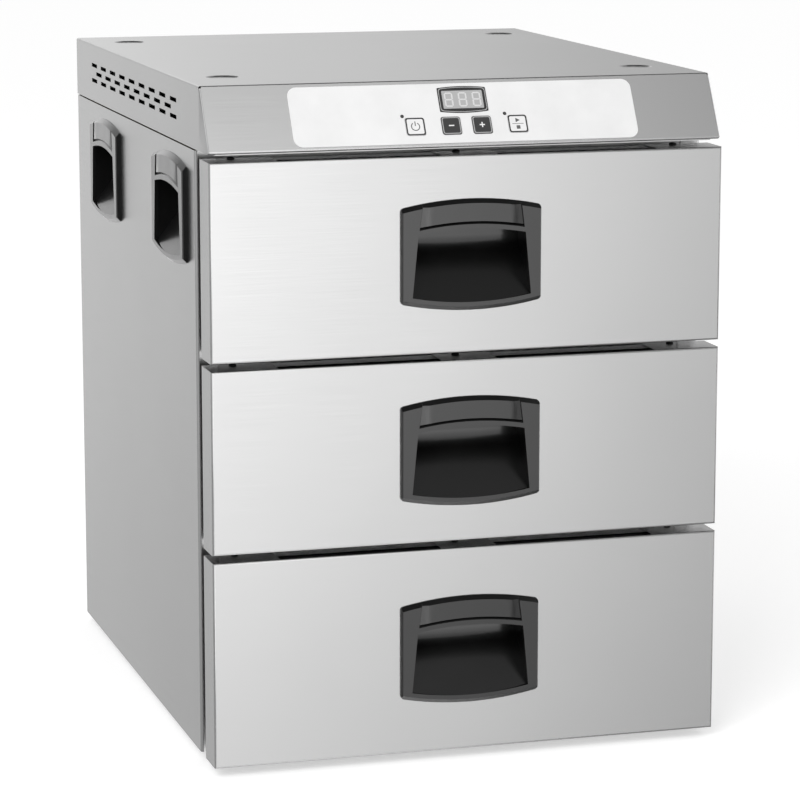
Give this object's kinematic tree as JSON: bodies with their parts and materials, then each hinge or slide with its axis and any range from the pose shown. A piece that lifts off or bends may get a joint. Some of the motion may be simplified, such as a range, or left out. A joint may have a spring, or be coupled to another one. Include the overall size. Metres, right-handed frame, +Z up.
{
  "type": "hot cupboard",
  "caption": "Heated stainless steel cupboard with pull-out pan drawers, flush pull handles, carry handles and a sloped control panel under a vented hood.",
  "frame": {"origin": "on the floor under the middle of the bounding box", "axes": "+Z up, the drawers open towards -Y, +X to the right as seen from the drawers"},
  "size_m": [0.51, 0.657, 0.649],
  "materials": {
    "stainless": "satin",
    "slide_steel": "satin",
    "handle_plastic": "matte",
    "seal_rubber": "matte",
    "insulation": "matte",
    "heater_silicone": "matte",
    "overlay_white": "satin",
    "key_dark": "satin",
    "window_dark": "gloss",
    "lamp_lens": "gloss",
    "circuit_board": "satin"
  },
  "bodies": {
    "cabinet": {"side_panel_left": "stainless", "side_panel_right": "stainless", "back_panel": "stainless", "base_pan": "stainless", "front_frame": "stainless", "cavity_liner": "stainless", "insulation_slabs": "insulation", "heater_mats": "heater_silicone", "temperature_probe": "stainless", "hood": "stainless", "hood_floor": "stainless", "control_overlay": "overlay_white", "display_window": "window_dark", "display_module": "window_dark", "control_board": "circuit_board", "indicator_lamps": "lamp_lens", "power_board": "circuit_board", "cable_gland": "handle_plastic", "rubber_feet": "seal_rubber", "case_screws": "stainless", "carry_handles_left": "handle_plastic", "carry_handles_right": "handle_plastic", "carry_handle_caps": "handle_plastic", "outer_rails_bottom": "slide_steel", "outer_rails_middle": "slide_steel", "outer_rails_top": "slide_steel"},
    "drawer_bottom": {"front_skin_bottom": "stainless", "front_inner_bottom": "stainless", "front_core_bottom": "insulation", "drawer_handle_bottom": "handle_plastic", "handle_cap_bottom": "handle_plastic", "door_seal_bottom": "seal_rubber", "pan_frame_bottom": "stainless", "food_pan_bottom": "stainless", "inner_rails_bottom": "slide_steel"},
    "slides_bottom": {"middle_rails_bottom": "slide_steel"},
    "drawer_middle": {"front_skin_middle": "stainless", "front_inner_middle": "stainless", "front_core_middle": "insulation", "drawer_handle_middle": "handle_plastic", "handle_cap_middle": "handle_plastic", "door_seal_middle": "seal_rubber", "pan_frame_middle": "stainless", "food_pan_middle": "stainless", "inner_rails_middle": "slide_steel"},
    "slides_middle": {"middle_rails_middle": "slide_steel"},
    "drawer_top": {"front_skin_top": "stainless", "front_inner_top": "stainless", "front_core_top": "insulation", "drawer_handle_top": "handle_plastic", "handle_cap_top": "handle_plastic", "door_seal_top": "seal_rubber", "pan_frame_top": "stainless", "food_pan_top": "stainless", "inner_rails_top": "slide_steel"},
    "slides_top": {"middle_rails_top": "slide_steel"},
    "button_power": {"key_power": "overlay_white"},
    "button_minus": {"key_minus": "key_dark"},
    "button_plus": {"key_plus": "key_dark"},
    "button_start": {"key_start": "overlay_white"}
  },
  "joints": [
    {"name": "drawer_bottom_slide", "type": "slide", "parent": "cabinet", "child": "drawer_bottom", "axis": [0, -1, 0], "range_m": [0, 0.52]},
    {"name": "slides_bottom_slide", "type": "slide", "parent": "cabinet", "child": "slides_bottom", "axis": [0, -1, 0], "range_m": [0, 0.26]},
    {"name": "drawer_middle_slide", "type": "slide", "parent": "cabinet", "child": "drawer_middle", "axis": [0, -1, 0], "range_m": [0, 0.52]},
    {"name": "slides_middle_slide", "type": "slide", "parent": "cabinet", "child": "slides_middle", "axis": [0, -1, 0], "range_m": [0, 0.26]},
    {"name": "drawer_top_slide", "type": "slide", "parent": "cabinet", "child": "drawer_top", "axis": [0, -1, 0], "range_m": [0, 0.52]},
    {"name": "slides_top_slide", "type": "slide", "parent": "cabinet", "child": "slides_top", "axis": [0, -1, 0], "range_m": [0, 0.26]},
    {"name": "key_power_press", "type": "slide", "parent": "cabinet", "child": "button_power", "axis": [0, 0.8575, -0.5145], "range_m": [0, 0.0006], "stiffness_N_per_m": 800},
    {"name": "key_minus_press", "type": "slide", "parent": "cabinet", "child": "button_minus", "axis": [0, 0.8575, -0.5145], "range_m": [0, 0.0006], "stiffness_N_per_m": 800},
    {"name": "key_plus_press", "type": "slide", "parent": "cabinet", "child": "button_plus", "axis": [0, 0.8575, -0.5145], "range_m": [0, 0.0006], "stiffness_N_per_m": 800},
    {"name": "key_start_press", "type": "slide", "parent": "cabinet", "child": "button_start", "axis": [0, 0.8575, -0.5145], "range_m": [0, 0.0006], "stiffness_N_per_m": 800}
  ],
  "couplings": [
    {"joint": "slides_bottom_slide", "follows": "drawer_bottom_slide", "ratio": 0.5},
    {"joint": "slides_middle_slide", "follows": "drawer_middle_slide", "ratio": 0.5},
    {"joint": "slides_top_slide", "follows": "drawer_top_slide", "ratio": 0.5}
  ]
}
